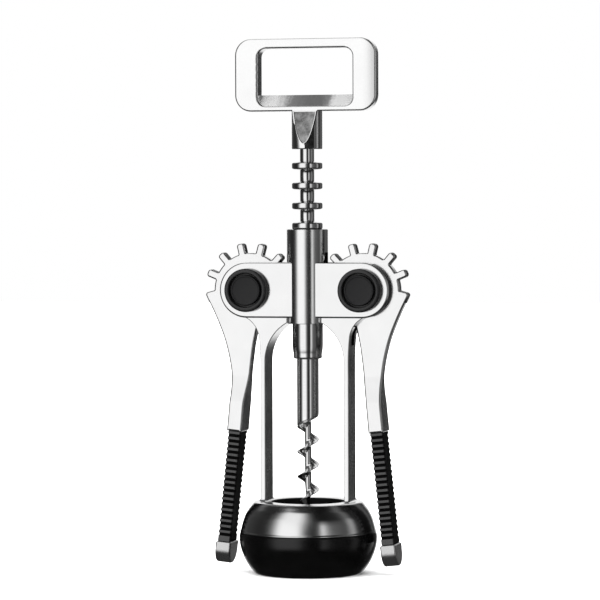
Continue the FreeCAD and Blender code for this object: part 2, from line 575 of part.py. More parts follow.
# the flight: a thin wedge section carried along the helix, tapering into the point
flight = doc.addObject("Part::Feature", "worm_flight")
pitch, rw, rc = V["worm_pitch"], V["worm_rad"], V["worm_core_rad"]
z_low, z_high = V["worm_tip_z"], V["shank_low_z"] + 3.2
phase = math.radians(-76.0)      # direction of the flight at the reference lobe
z_ref = 47.03
steps = 20
turns = (z_high - z_low) / pitch
sections = []
n = int(round(turns * steps))
for i in range(n + 1):
    z = z_low + (z_high - z_low) * i / n
    a = phase + math.radians(90.0) + 2 * math.pi * (z - z_ref) / pitch
    grow = min(1.0, (z - z_low + 0.8) / 7.0)
    ro = rc * 0.25 + (rw - rc * 0.25) * math.sin(grow * math.pi / 2)
    ri = min(rc * 0.6, ro * 0.3)
    hr = 0.35 + 0.95 * grow
    ht = 0.16 + 0.10 * grow
    c, d = math.cos(a), math.sin(a)
    pts = [Vector(ri * c, ri * d, z - hr), Vector(ro * c, ro * d, z - ht),
           Vector(ro * c, ro * d, z + ht), Vector(ri * c, ri * d, z + hr)]
    sections.append(Part.makePolygon(pts + [pts[0]]))
flight.Shape = Part.makeLoft(sections, True, True, False)
doc.recompute()

worm = doc.addObject("Part::MultiFuse", "worm")
worm.Label = "worm"
worm.Shapes = [shank, tenon, core, core_up, flight]
doc.recompute()
PARTS.append(worm)

# --- cross pin through the collar and the worm's tenon, its end set just below the surface
pin = doc.addObject("Part::Cylinder", "worm_pin")
pin.Label = "worm_pin"
bind(pin, "Radius", D["pin_rad"])
bind(pin, "Height", D["collar_rad"] * 2 - 0.9)
half = V["collar_rad"] - 0.45
ang = math.radians(-90.0 + 13.9 - 46.0)
pin.Placement = Placement(Vector(-half * math.cos(ang), -half * math.sin(ang), V["pin_z"]),
                          Rotation(Vector(0, 0, 1), Vector(math.cos(ang), math.sin(ang), 0)))
doc.recompute()
PARTS.append(pin)
for target in (shaft, worm):
    hole = doc.addObject("Part::Cylinder", target.Name + "_pin_hole")
    bind(hole, "Radius", D["pin_rad"] + 0.03)
    bind(hole, "Height", D["collar_rad"] * 2 + 4.0)
    hh = V["collar_rad"] + 2.0
    hole.Placement = Placement(Vector(-hh * math.cos(ang), -hh * math.sin(ang), V["pin_z"]),
                               Rotation(Vector(0, 0, 1), Vector(math.cos(ang), math.sin(ang), 0)))
    drilled = doc.addObject("Part::Cut", target.Name + "_drilled")
    drilled.Base = target
    drilled.Tool = hole
    drilled.Label = target.Label + "_drilled"
    PARTS[PARTS.index(target)] = drilled
    drilled.Label2 = target.Label
doc.recompute()

# --- checks, then one file for each piece
bad = [o.Name for o in doc.Objects if any(w in o.State for w in ("Invalid", "Error"))]
if bad:
    raise RuntimeError("failed objects: %s" % bad)
os.makedirs("parts", exist_ok=True)
for obj in PARTS:
    name = obj.Label2 or obj.Label
    if obj.Shape.isNull() or not obj.Shape.isValid() or len(obj.Shape.Solids) < 1:
        raise RuntimeError("bad shape: %s" % name)
    print("%-28s solids %d volume %9.1f  box %s" % (
        name, len(obj.Shape.Solids), obj.Shape.Volume,
        " ".join("%.2f" % c for c in (obj.Shape.BoundBox.XMin, obj.Shape.BoundBox.XMax, obj.Shape.BoundBox.YMin,
                                      obj.Shape.BoundBox.YMax, obj.Shape.BoundBox.ZMin, obj.Shape.BoundBox.ZMax))))
for obj in PARTS:
    obj.Shape.exportStep("parts/%s.step" % (obj.Label2 or obj.Label))
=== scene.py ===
import math

import bmesh
import bpy
from mathutils import Matrix, Vector
from mathutils.geometry import tessellate_polygon


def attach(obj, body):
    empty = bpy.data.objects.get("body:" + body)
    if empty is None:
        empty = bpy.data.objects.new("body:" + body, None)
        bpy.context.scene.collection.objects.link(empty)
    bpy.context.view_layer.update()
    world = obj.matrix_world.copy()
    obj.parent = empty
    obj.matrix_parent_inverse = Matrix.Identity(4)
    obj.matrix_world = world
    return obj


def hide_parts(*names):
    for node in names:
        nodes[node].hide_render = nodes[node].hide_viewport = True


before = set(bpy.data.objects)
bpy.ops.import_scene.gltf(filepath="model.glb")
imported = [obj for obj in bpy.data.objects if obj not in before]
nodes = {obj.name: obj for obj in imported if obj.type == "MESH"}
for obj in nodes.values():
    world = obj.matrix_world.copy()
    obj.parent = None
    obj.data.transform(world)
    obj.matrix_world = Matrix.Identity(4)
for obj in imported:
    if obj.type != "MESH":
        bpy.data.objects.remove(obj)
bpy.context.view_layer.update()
MM = 0.001
scene = bpy.context.scene


# ---------------------------------------------------------------- materials
class Mat:
    """A Principled material with short helpers for its node tree."""

    def __init__(self, name, color, metallic, roughness, **sockets):
        self.m = bpy.data.materials.new(name)
        self.m.use_nodes = True
        self.t = self.m.node_tree
        self.b = self.t.nodes["Principled BSDF"]
        self.b.inputs["Base Color"].default_value = (*color, 1)
        self.b.inputs["Metallic"].default_value = metallic
        self.b.inputs["Roughness"].default_value = roughness
        for k, v in sockets.items():
            self.b.inputs[k.replace("_", " ")].default_value = v

    def node(self, kind, **props):
        n = self.t.nodes.new(kind)
        for k, v in props.items():
            setattr(n, k, v)
        return n

    def link(self, a, b):
        self.t.links.new(a, b)

    def coords(self, scale=(1, 1, 1)):
        """Object coordinates in millimetres, stretched by scale."""
        tc = self.node("ShaderNodeTexCoord")
        mp = self.node("ShaderNodeMapping")
        mp.inputs["Scale"].default_value = tuple(1000.0 * s for s in scale)
        self.link(tc.outputs["Object"], mp.inputs["Vector"])
        return mp.outputs["Vector"]

    def noise(self, vec, scale, detail=3.0, rough=0.5):
        n = self.node("ShaderNodeTexNoise")
        n.inputs["Scale"].default_value = scale
        n.inputs["Detail"].default_value = detail
        n.inputs["Roughness"].default_value = rough
        self.link(vec, n.inputs["Vector"])
        return n.outputs["Fac"]

    def math(self, op, a, b=None, c=None):
        n = self.node("ShaderNodeMath", operation=op)
        for i, x in enumerate((a, b, c)):
            if x is None:
                continue
            if isinstance(x, (int, float)):
                n.inputs[i].default_value = x
            else:
                self.link(x, n.inputs[i])
        return n.outputs[0]

    def remap(self, x, a, b, lo, hi, smooth=False):
        n = self.node("ShaderNodeMapRange")
        if smooth:
            n.interpolation_type = "SMOOTHSTEP"
        self.link(x, n.inputs["Value"])
        for k, v in (("From Min", a), ("From Max", b), ("To Min", lo), ("To Max", hi)):
            n.inputs[k].default_value = v
        return n.outputs["Result"]

    def ramp(self, x, stops):
        n = self.node("ShaderNodeValToRGB")
        e = n.color_ramp.elements
        while len(e) > 1:
            e.remove(e[-1])
        e[0].position, e[0].color = stops[0][0], (*stops[0][1], 1)
        for p, c in stops[1:]:
            k = e.new(p)
            k.color = (*c, 1)
        self.link(x, n.inputs["Fac"])
        return n.outputs["Color"]

    def bump(self, height, strength, distance_mm, after=None):
        n = self.node("ShaderNodeBump")
        n.inputs["Strength"].default_value = strength
        n.inputs["Distance"].default_value = distance_mm * MM
        self.link(height, n.inputs["Height"])
        if after is not None:
            self.link(after, n.inputs["Normal"])
        return n.outputs["Normal"]

    def out(self, roughness=None, color=None, normal=None):
        if roughness is not None:
            self.link(roughness, self.b.inputs["Roughness"])
        if color is not None:
            self.link(color, self.b.inputs["Base Color"])
        if normal is not None:
            self.link(normal, self.b.inputs["Normal"])
        return self.m


def casting(name, base=0.82, rough=0.17, grain=1.0):
    """Polished cast metal: fine satin grain, slow waves left by the polishing wheel, faint scuffs."""
    k = Mat(name, (base, base, base * 1.006), 1.0, rough)
    v = k.coords()
    grain_n = k.noise(v, 3.2, 4.0, 0.6)
    wave = k.noise(v, 0.10, 2.0, 0.5)
    drawn = k.noise(k.coords((0.25, 0.25, 3.0)), 1.6, 3.0, 0.55)
    r = k.math("ADD", k.remap(grain_n, 0.3, 0.7, rough - 0.03, rough + 0.05), k.remap(wave, 0.35, 0.65, -0.015, 0.03))
    r = k.math("ADD", r, k.remap(drawn, 0.3, 0.75, 0.0, 0.035))
    c = k.ramp(wave, [(0.3, (base * 0.965,) * 3), (0.7, (base * 1.03,) * 3)])
    n = k.bump(grain_n, 0.05 * grain, 0.02)
    n = k.bump(wave, 0.05, 0.04, n)
    return k.out(r, c, n)


def mottled_surface(name, light, dark, metallic, rough, patch, grain=1.0):
    """Mottled patches under a coarse grain between a light and a dark tone: an as-cast finish on the stem facets, and
    painted shade on slot walls and side walls.
    """
    mid = (light + dark) / 2
    k = Mat(name, (mid, mid, mid), metallic, rough)
    v = k.coords()
    big = k.noise(v, patch, 3.0, 0.6)
    small = k.noise(v, 2.4, 4.0, 0.65)
    mix = k.math("ADD", k.math("MULTIPLY", big, 0.7), k.math("MULTIPLY", small, 0.3))
    c = k.ramp(mix, [(0.38, (dark,) * 3), (0.50, (mid,) * 3), (0.62, (light,) * 3)])
    r = k.remap(small, 0.3, 0.7, rough - 0.06, rough + 0.08)
    return k.out(r, c, k.bump(small, 0.35 * grain, 0.04, k.bump(big, 0.3 * grain, 0.15)))


def painted_shade_edge(name):
    """The cap edge in the window: dull metal with faint streaks, and a colour ramp along X that paints shade across the
    middle and highlights towards both ends.
    """
    k = Mat(name, (0.6, 0.6, 0.6), 0.15, 0.42)
    tc = k.node("ShaderNodeTexCoord")
    sep = k.node("ShaderNodeSeparateXYZ")
    k.link(tc.outputs["Object"], sep.inputs[0])
    v = k.coords()
    small = k.noise(v, 1.3, 4.0, 0.6)
    streak = k.noise(k.coords((1.0, 0.15, 0.15)), 0.5, 3.0, 0.6)
    x = k.math("ADD", k.remap(sep.outputs[0], -0.0173, 0.0173, 0.0, 1.0),
               k.math("ADD", k.remap(streak, 0.3, 0.7, -0.03, 0.03), k.remap(small, 0.3, 0.7, -0.02, 0.02)))
    # Painted shade and painted highlights: dark across the middle of the edge, light near both ends.
    c = k.ramp(x, [(0.0, (0.08,) * 3), (0.04, (0.31,) * 3), (0.18, (0.32,) * 3), (0.27, (0.20,) * 3), (0.34, (0.07,) * 3),
                   (0.5, (0.05,) * 3), (0.66, (0.05,) * 3), (0.73, (0.10,) * 3), (0.79, (0.30,) * 3), (1.0, (0.33,) * 3)])
    return k.out(k.remap(small, 0.3, 0.7, 0.36, 0.50), c, k.bump(small, 0.2, 0.04))


def turned(name, base, rough, lines=1.0, line_scale=5.0, dark=None):
    """Turned metal: fine rings round the Z axis over a satin base."""
    k = Mat(name, (base, base, base * 1.006), 1.0, rough)
    v = k.coords()
    rings = k.noise(k.coords((0.06, 0.06, 2.2)), line_scale, 4.0, 0.65)
    blot = k.noise(v, 0.16, 3.0, 0.55)
    fine = k.noise(v, 5.0, 3.0, 0.6)
    r = k.math("ADD", k.remap(rings, 0.3, 0.7, rough - 0.04, rough + 0.05), k.remap(blot, 0.3, 0.7, -0.02, 0.03))
    lo = dark if dark is not None else base * 0.93
    c = k.ramp(rings, [(0.32, (lo,) * 3), (0.62, (base,) * 3)])
    n = k.bump(rings, 0.16 * lines, 0.012)
    n = k.bump(fine, 0.02, 0.01, n)
    return k.out(r, c, n)


def plastic(name, base, rough, grain_scale=2.6, grain=0.25, tint=1.0, spec=0.5, coat=0.0):
    """Moulded black plastic: fine spark-eroded grain and slight flow variation."""
    k = Mat(name, (base, base, base * tint), 0.0, rough, Specular_IOR_Level=spec, Coat_Weight=coat)
    v = k.coords()
    g = k.noise(v, grain_scale, 4.0, 0.7)
    flow = k.noise(v, 0.22, 3.0, 0.5)
    r = k.math("ADD", k.remap(g, 0.3, 0.7, rough - 0.05, rough + 0.07), k.remap(flow, 0.3, 0.7, -0.03, 0.04))
    c = k.ramp(flow, [(0.3, (base * 0.8, base * 0.8, base * 0.8 * tint)), (0.7, (base * 1.25, base * 1.25, base * 1.25 * tint))])
    return k.out(r, c, k.bump(g, grain, 0.03))


M_CAST = casting("satin_casting", 0.81, 0.13)
M_HANDLE = casting("handle_casting", 0.87, 0.14)
M_TURNED = turned("turned_steel", 0.80, 0.08, 0.25)
M_WORM = turned("worm_steel", 0.80, 0.09, 0.2, 3.0)
M_BELL = turned("bell_metal", 0.80, 0.17, 0.3, 6.0)
M_SHOE = casting("shoe_metal", 0.64, 0.25, 2.0)
M_PIN = turned("pin_steel", 0.55, 0.3, 0.6)
M_RING = plastic("black_ring", 0.001, 0.17, 2.2, 0.08, 1.05, 0.40)
M_FLANGE = plastic("black_plastic", 0.0025, 0.34, 3.4, 0.20, 1.08, 0.62)
M_CAP = plastic("black_cap_plastic", 0.0025, 0.38, 3.4, 0.20, 1.12, 0.34)
M_FACET = mottled_surface("rough_facet", 0.42, 0.14, 1.0, 0.34, 0.45)
M_EDGE = painted_shade_edge("cap_edge_painted_shade")
# Painted shade: near-black mottled metal for the gear slots, the barrel's bore and the side wall of each facet pocket.
M_SLOT_SHADE = mottled_surface("slot_walls_painted_shade", 0.10, 0.03, 1.0, 0.5, 0.4, 0.6)
# Painted shade: near-black mottled metal for the side walls at the cheeks' rounded ends and the levers' tooth sides.
M_SIDE_SHADE = mottled_surface("cheek_sides_painted_shade", 0.055, 0.02, 1.0, 0.42, 0.4, 0.6)
M_BORE = plastic("blackened_bore", 0.003, 0.5, 2.6, 0.2, 1.0, 0.1)
M_BUSH = plastic("bush_plastic", 0.03, 0.5)
M_GRIP = plastic("grip_rubber", 0.004, 0.27, 2.0, 0.2, 1.05, 1.0)
# A rougher, less reflective copy of the grip rubber whose darker colour is painted shade in the rib gaps and on the
# grip's sides.
M_GAP_SHADE = plastic("grip_rubber_gaps_painted_shade", 0.001, 0.6, 2.0, 0.2, 1.0, 0.08)


# ---------------------------------------------------------------- mesh helpers
# Pieces are built in millimetres; dress() brings them to metres.
def make_object(name, verts, faces):
    me = bpy.data.meshes.new(name)
    me.from_pydata([tuple(v) for v in verts], [], faces)
    me.validate()
    ob = bpy.data.objects.new(name, me)
    scene.collection.objects.link(ob)
    return ob


def fix_normals(ob):
    bm = bmesh.new()
    bm.from_mesh(ob.data)
    bmesh.ops.remove_doubles(bm, verts=bm.verts, dist=1e-5)
    bmesh.ops.recalc_face_normals(bm, faces=bm.faces)
    bm.to_mesh(ob.data)
    bm.free()


def lathe(name, profile, segs=192):
    """Closed profile [(r, z), ...] turned about Z."""
    verts, rows = [], []
    for r, z in profile:
        if r < 1e-6:
            rows.append([len(verts)] * segs)
            verts.append((0, 0, z))
        else:
            rows.append(list(range(len(verts), len(verts) + segs)))
            verts += [(r * math.cos(2 * math.pi * i / segs), r * math.sin(2 * math.pi * i / segs), z) for i in range(segs)]
    faces = []
    n = len(profile)
    for j in range(n):
        a, b = rows[j], rows[(j + 1) % n]
        for i in range(segs):
            k = (i + 1) % segs
            f = []
            for v in (a[i], a[k], b[k], b[i]):
                if v not in f:
                    f.append(v)
            if len(f) > 2:
                faces.append(f)
    ob = make_object(name, verts, faces)
    fix_normals(ob)
    return ob


def arc3(p, m, q, n=12):
    """Points after p, up to q, on the arc from p through m to q."""
    ax, ay, bx, by, cx, cy = p[0], p[1], m[0], m[1], q[0], q[1]
    d = 2 * (ax * (by - cy) + bx * (cy - ay) + cx * (ay - by))
    ux = ((ax * ax + ay * ay) * (by - cy) + (bx * bx + by * by) * (cy - ay) + (cx * cx + cy * cy) * (ay - by)) / d
    uy = ((ax * ax + ay * ay) * (cx - bx) + (bx * bx + by * by) * (ax - cx) + (cx * cx + cy * cy) * (bx - ax)) / d
    r = math.hypot(ax - ux, ay - uy)
    ta, tm, tb = (math.atan2(y - uy, x - ux) for x, y in ((ax, ay), (bx, by), (cx, cy)))
    ccw = (tm - ta) % (2 * math.pi) < (tb - ta) % (2 * math.pi)
    sweep = (tb - ta) % (2 * math.pi) if ccw else -((ta - tb) % (2 * math.pi))
    return [(ux + r * math.cos(ta + sweep * k / n), uy + r * math.sin(ta + sweep * k / n)) for k in range(1, n + 1)]


def path(*steps):
    """A closed outline. (x, y) is a corner, (x, y, r) a corner rounded by r, and
    (mx, my, x, y, n) an arc of n steps from the last point through m to (x, y)."""
    pts, radii = [], []
    for s in steps:
        if len(s) == 5:
            for q in arc3(pts[-1], s[:2], s[2:4], int(s[4])):
                pts.append(q)
                radii.append(0)
        else:
            pts.append(tuple(s[:2]))
            radii.append(s[2] if len(s) > 2 else 0)
    return corners(pts, radii)


def corners(pts, radii, steps=5):
    n = len(pts)
    out = []
    for i in range(n):
        r = radii[i]
        p, a, b = Vector(pts[i]), Vector(pts[i - 1]), Vector(pts[(i + 1) % n])
        u, w = a - p, b - p
        lu, lw = u.length, w.length
        if r <= 0 or min(lu, lw) < 1e-6:
            out.append(tuple(p))
            continue
        u.normalize()
        w.normalize()
        ang = u.angle(w)
        if ang > math.pi - 0.03:
            out.append(tuple(p))
            continue
        d = min(r / math.tan(ang / 2), lu * 0.48, lw * 0.48)
        rr = d * math.tan(ang / 2)
        c = p + (u + w).normalized() * math.hypot(rr, d)
        s, e = p + u * d - c, p + w * d - c
        for k in range(steps + 1):
            v = s.lerp(e, k / steps)
            out.append(tuple(c + v.normalized() * rr))
    return out


def spline(points, per=8):
    """Catmull-Rom through open points."""
    pts = [Vector(p) for p in points]
    pts = [pts[0] * 2 - pts[1]] + pts + [pts[-1] * 2 - pts[-2]]
    out = []
    for i in range(1, len(pts) - 2):
        p0, p1, p2, p3 = pts[i - 1:i + 3]
        for k in range(per):
            t = k / per
            out.append(tuple(0.5 * ((2 * p1) + (p2 - p0) * t + (2 * p0 - 5 * p1 + 4 * p2 - p3) * t * t
                                    + (3 * p1 - p0 - 3 * p2 + p3) * t ** 3)))
    out.append(tuple(pts[-2]))
    return out


def flipped(loop):
    return [(-x, y) for x, y in reversed(loop)]


def moved(loop, dx, dy):
    return [(x + dx, y + dy) for x, y in loop]


def area2(loop):
    return sum(a[0] * b[1] - b[0] * a[1] for a, b in zip(loop, loop[1:] + loop[:1]))


def inset(loop, d, factor=None):
    """The loop moved by d towards its left side; factor scales it point by point."""
    n = len(loop)
    out = []
    for i in range(n):
        p, a, b = Vector(loop[i]), Vector(loop[i - 1]), Vector(loop[(i + 1) % n])
        e1, e2 = (p - a).normalized(), (b - p).normalized()
        n1, n2 = Vector((-e1.y, e1.x)), Vector((-e2.y, e2.x))
        k = factor(*loop[i]) if factor else 1.0
        out.append(tuple(p + (n1 + n2) * (k * d / max(0.35, 1 + n1.dot(n2)))))
    return out


def rim_section(scale, wall=0.16, facet=0.26, inner=0.30, soft=0.70):
    """Section of a rim from the wall to the face, as (inset, drop) pairs: a small round
    at the wall, a steep facet, and a soft round that runs into the face."""
    pts = [(0.0, 0.0)]

    def turn(rad, f0, f1, n):
        for k in range(n):
            a, b = (math.radians(f0 + (f1 - f0) * t / n) for t in (k, k + 1))
            x, y = pts[-1]
            pts.append((x + rad * (math.sin(a) - math.sin(b)), y + rad * (math.cos(b) - math.cos(a))))

    turn(wall, 90, 50, 3)
    x, y = pts[-1]
    pts.append((x + facet * math.cos(math.radians(50)), y + facet * math.sin(math.radians(50))))
    turn(inner, 50, 28, 2)
    turn(soft, 28, 0, 4)
    top = pts[-1][1]
    return [(x * scale, (top - y) * scale) for x, y in pts]


def round_section(r, steps):
    return [(r * (1 - math.sin(math.pi / 2 * k / steps)), r * (1 - math.cos(math.pi / 2 * k / steps))) for k in range(steps, -1, -1)]


def plate(name, loops, half, rim, normal="Y", cuts=(), depth=None, factor=None):
    """A plate of half-thickness half whose rims follow the section rim. The first loop
    is the outline and the others are holes. With depth, a function of height,
    the half-thickness follows it, and cuts lists the heights where it bends."""
    loops = [lp if (area2(lp) > 0) == (k == 0) else list(reversed(lp)) for k, lp in enumerate(loops)]
    verts, faces = [], []
    front, back = [], []
    for lp in loops:
        rings = [(inset(lp, d, factor), -(half - drop)) for d, drop in reversed(rim)]
        rings += [(ring, -w) for ring, w in reversed(rings)]
        ids = []
        for ring, w in rings:
            ids.append(list(range(len(verts), len(verts) + len(ring))))
            verts += [(u, w, v) if normal == "Y" else (w, u, v) for u, v in ring]
        m = len(lp)
        for a, b in zip(ids, ids[1:]):
            for i in range(m):
                j = (i + 1) % m
                faces.append((a[i], a[j], b[j], b[i]))
        front.append(ids[0])
        back.append(ids[-1])
    for side in (front, back):
        flat = [i for ids in side for i in ids]
        coords = [[Vector((verts[i][0] if normal == "Y" else verts[i][1], verts[i][2], 0)) for i in ids] for ids in side]
        for tri in tessellate_polygon(coords):
            faces.append(tuple(flat[i] for i in tri))
    me = bpy.data.meshes.new(name)
    me.from_pydata(verts, [], faces)
    bm = bmesh.new()
    bm.from_mesh(me)
    bmesh.ops.remove_doubles(bm, verts=bm.verts, dist=1e-5)
    bmesh.ops.recalc_face_normals(bm, faces=bm.faces)
    for z in cuts:
        bmesh.ops.bisect_plane(bm, geom=bm.verts[:] + bm.edges[:] + bm.faces[:], dist=1e-5, plane_co=(0, 0, z), plane_no=(0, 0, 1))
    if depth:
        for v in bm.verts:
            drop = half - depth(v.co.z)
            v.co.y -= math.copysign(drop, v.co.y)
    else:
        bmesh.ops.dissolve_limit(bm, angle_limit=math.radians(0.05), verts=bm.verts, edges=bm.edges)
    bm.to_mesh(me)
    bm.free()
    ob = bpy.data.objects.new(name, me)
    scene.collection.objects.link(ob)
    return ob


def extrude_x(name, section, x0, x1):
    """A prism along X of a closed (y, z) section."""
    n = len(section)
    verts = [(x, y, z) for x in (x0, x1) for y, z in section]
    faces = [tuple(range(n)), tuple(range(2 * n - 1, n - 1, -1))] + [(i, (i + 1) % n, n + (i + 1) % n, n + i) for i in range(n)]
    ob = make_object(name, verts, faces)
    fix_normals(ob)
    return ob


def mark(ob, index, test):
    """Gives the faces of a dressed piece that pass test(centre, normal, corner points),
    in millimetres, the material of that index."""
    for p in ob.data.polygons:
        if test(p.center / MM, p.normal, [ob.data.vertices[i].co / MM for i in p.vertices]):
            p.material_index = index


def apply_mods(ob):
    dg = bpy.context.evaluated_depsgraph_get()
    me = bpy.data.meshes.new_from_object(ob.evaluated_get(dg))
    ob.modifiers.clear()
    old = ob.data
    ob.data = me
    bpy.data.meshes.remove(old)
    return ob


def combine(ob, other, operation):
    m = ob.modifiers.new("combine", "BOOLEAN")
    m.operation = operation
    m.solver = "EXACT"
    m.object = other
    apply_mods(ob)
    bpy.data.objects.remove(other)
    return ob


def tidy(ob):
    """Closes up what the booleans leave: doubled points, specks, and flat faces in pieces."""
    bm = bmesh.new()
    bm.from_mesh(ob.data)
    bmesh.ops.remove_doubles(bm, verts=bm.verts, dist=2e-4)
    bmesh.ops.dissolve_degenerate(bm, edges=bm.edges, dist=1e-4)
    bmesh.ops.recalc_face_normals(bm, faces=bm.faces)
    bmesh.ops.triangulate(bm, faces=[f for f in bm.faces if len(f.verts) > 4])
    bm.to_mesh(ob.data)
    bm.free()
    return ob


def shade(ob, angle=32.0, weighted=True):
    me = ob.data
    for p in me.polygons:
        p.use_smooth = True
    me.set_sharp_from_angle(angle=math.radians(angle))
    if weighted:
        w = ob.modifiers.new("wn", "WEIGHTED_NORMAL")
        w.keep_sharp = True
        w.weight = 60
        apply_mods(ob)
    return ob


def dress(ob, material, body, node=None, angle=32.0, weighted=True, cad=False):
    if not cad:
        ob.data.transform(Matrix.Scale(MM, 4))
        shade(ob, angle, weighted)
    ob.data.materials.clear()
    for m in material if isinstance(material, (list, tuple)) else (material,):
        ob.data.materials.append(m)
    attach(ob, body)
    if node:
        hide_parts(*([node] if isinstance(node, str) else node))
    return ob


# ---------------------------------------------------------------- screw: handle, toothed shaft, worm
# The cap edge and the two stem facets are left rougher than the polished faces. The cap edge's colour also carries
# painted shade in its middle and painted highlights near its ends.
def rect_loop(hw, z0, z1, r, n=8):
    return corners([(hw, z0), (hw, z1), (-hw, z1), (-hw, z0)], [r] * 4, n)


def broken(loop, side, step):
    """The loop with extra points along its straight edge at x = side."""
    out = []
    for i, p in enumerate(loop):
        q = loop[(i + 1) % len(loop)]
        out.append(p)
        if abs(p[0] - side) < 1e-4 and abs(q[0] - side) < 1e-4:
            n = int(abs(q[1] - p[1]) / step)
            out += [(side, p[1] + (q[1] - p[1]) * k / n) for k in range(1, n)]
    return out


def cast_edge(x, z):
    """The left edge of the window was never dressed: its rim is wide and uneven. The
    window's upper edge is a little softer than the rest."""
    if z > 184.09 and abs(x) < 17.1:
        return 1.6
    if abs(x + 17.0) > 1.2 or not 165.0 < z < 184.0:
        return 1.0
    w = min(1.0, (z - 165.0) / 2.0, (184.0 - z) / 2.0)
    wave = 0.5 * math.sin(z * 2.1) + 0.3 * math.sin(z * 4.7 + 1.0) + 0.35 * math.sin(z * 9.3 + 2.0) + 0.25 * math.sin(z * 15.1)
    return 1.0 + w * (0.75 + 0.35 * wave)


handle = plate("handle_casting", [rect_loop(25.4, 162.1, 187.5, 5.8, 12), broken(rect_loop(17.0, 163.8, 184.1, 2.9), -17.0, 0.35)],
               2.9, rim_section(0.95, 0.16, 0.16, 0.30, 0.95), factor=cast_edge)
bm = bmesh.new()
bm.from_mesh(handle.data)
for side in (-1, 1):
    for x in (20.2, 21.1, 22.0, 22.9, 23.8, 24.6):
        bmesh.ops.bisect_plane(bm, geom=bm.verts[:] + bm.edges[:] + bm.faces[:], dist=1e-5, plane_co=(x * side, 0, 0), plane_no=(1, 0, 0))
for v in bm.verts:
    v.co.y -= (-0.34 if v.co.y < 0 else 1.45) * max(0.0, (abs(v.co.x) - 20.2) / 5.2) ** 2
bm.to_mesh(handle.data)
bm.free()
combine(handle, extrude_x("cap_edge", [(-2.4, 163.0), (-2.4, 163.8), (2.1, 167.9), (2.6, 167.65), (2.6, 163.0)], -17.25, 17.25), "UNION")
stem = lathe("stem", [(0, 148.8), (5.1, 148.8), (5.26, 148.86), (5.36, 149.0), (5.4, 149.2), (5.4, 163.1), (0, 163.1)], 160)
slope = (5.4 - 2.9) / (162.5 - 150.3)
wedge = [(-2.9, 162.5), (-2.9, 163.5), (-6.9, 163.5), (-6.9, 162.5 - 4.0 / slope)]
for sg in (1, -1):
    combine(stem, extrude_x("facet", [(y * sg, z) for y, z in wedge], -7.0, 7.0), "DIFFERENCE")
combine(handle, stem, "UNION")
combine(handle, lathe("stem_bore", [(0, 140.0), (2.55, 140.0), (2.55, 159.0), (0, 159.0)], 96), "DIFFERENCE")
tidy(handle)
bm = bmesh.new()
bm.from_mesh(handle.data)
for sg in (1, -1):
    flat = [f for f in bm.faces if f.normal.y * sg > 0.9 and 0.15 < f.normal.z < 0.25 and f.calc_center_median().z < 162.6]
    bmesh.ops.inset_region(bm, faces=flat, thickness=0.42, depth=0.10, use_even_offset=True)
    flat = [f for f in flat if f.is_valid]
    bmesh.ops.inset_region(bm, faces=flat, thickness=0.22, depth=-0.07, use_even_offset=True)
bm.to_mesh(handle.data)
bm.free()
dress(handle, (M_HANDLE, M_FACET, M_EDGE, M_SLOT_SHADE), "screw", "opener_handle", 30.0)
# The side wall of each facet pocket gets the slot material: a painted shade line.
mark(handle, 3, lambda c, n, vs: 148.0 < c.z < 162.4 and 1.2 < -c.y < 7.0 and abs(c.x) < 6.3 and n.x > 0.06
     and 0.75 < Vector((n.x, -n.y, n.z)).dot(Vector((0, 1, slope)).normalized()) < 0.9985)
facet_n = Vector((0, 1, slope)).normalized()
mark(handle, 1, lambda c, n, vs: Vector((n.x, abs(n.y), n.z)).dot(facet_n) > 0.999 and c.z < 162.6)
# The cap edge's faces take the material with painted shade and highlights along X.
mark(handle, 2, lambda c, n, vs: abs(n.x) < 0.05 and 0.6 < n.z < 0.9 and n.y < -0.4 and 163.7 < c.z < 168.2 and abs(c.x) < 17.2
     and c.y > -2.42)

prof = [(2.6, 75.4), (4.45, 75.4), (4.78, 75.48), (4.98, 75.75), (5.06, 76.1), (5.03, 76.45), (4.99, 76.75), (5.0, 77.1), (5.12, 77.7),
        (5.28, 78.6), (5.37, 79.6), (5.4, 80.4), (5.4, 94.6), (5.34, 94.85), (5.15, 95.02), (2.56, 95.42), (2.5, 95.5)]
for k in range(6, -1, -1):
    zc = 142.98 - 7.0 * k
    prof += [(2.5, zc - 1.68), (2.56, zc - 1.60), (4.80, zc - 1.20), (5.08, zc - 1.11), (5.30, zc - 0.92), (5.4, zc - 0.62),
             (5.4, zc + 0.62), (5.30, zc + 0.92), (5.08, zc + 1.11), (4.80, zc + 1.20), (2.56, zc + 1.60), (2.5, zc + 1.68)]
prof += [(2.5, 159.0), (0, 159.0), (0, 88.0), (2.6, 88.0)]
shaft = lathe("toothed_shaft", prof, 160)
dress(shaft, M_TURNED, "screw", "rack_shaft", 40.0)

WORM_PITCH, WORM_CORE, WORM_OUT, SHANK_R = 8.8, 1.18, 3.85, 3.86
Z_REF, A_REF = 47.03, math.radians(13.9)     # the flight stands at this angle at this height


def worm_radius(a, z):
    """Radius of the worm's surface at angle a and height z."""
    turn = (a - A_REF) / (2 * math.pi)
    zc = Z_REF + WORM_PITCH * turn
    d = (z - zc + WORM_PITCH / 2) % WORM_PITCH - WORM_PITCH / 2
    near = z - d
    t = min(1.0, max(0.0, (z - 23.0) / 8.5))
    ro = WORM_OUT * math.sin(min(1.0, (max(0.0, near - 20.6) / 9.5)) * math.pi / 2) ** 0.8
    ro = max(ro, 0.02)
    rc = WORM_CORE * (0.22 + 0.78 * t ** 0.7)
    w = 2.35 if d > 0 else 1.75
    lobe = 1.0 if abs(d) < 0.13 else max(0.0, (1 - (abs(d) - 0.13) / (w - 0.13))) ** (2.2 if d > 0 else 1.7) * 0.96
    r = rc + max(0.0, ro - rc) * lobe
    rise = ((a - math.radians(90)) % (2 * math.pi)) / (2 * math.pi) * WORM_PITCH
    s = (z - (49.35 + rise)) / 0.45 + 0.5
    if s > 0:
        s = min(1.0, s)
        r = r + (SHANK_R - r) * (s * s * (3 - 2 * s))
    return r


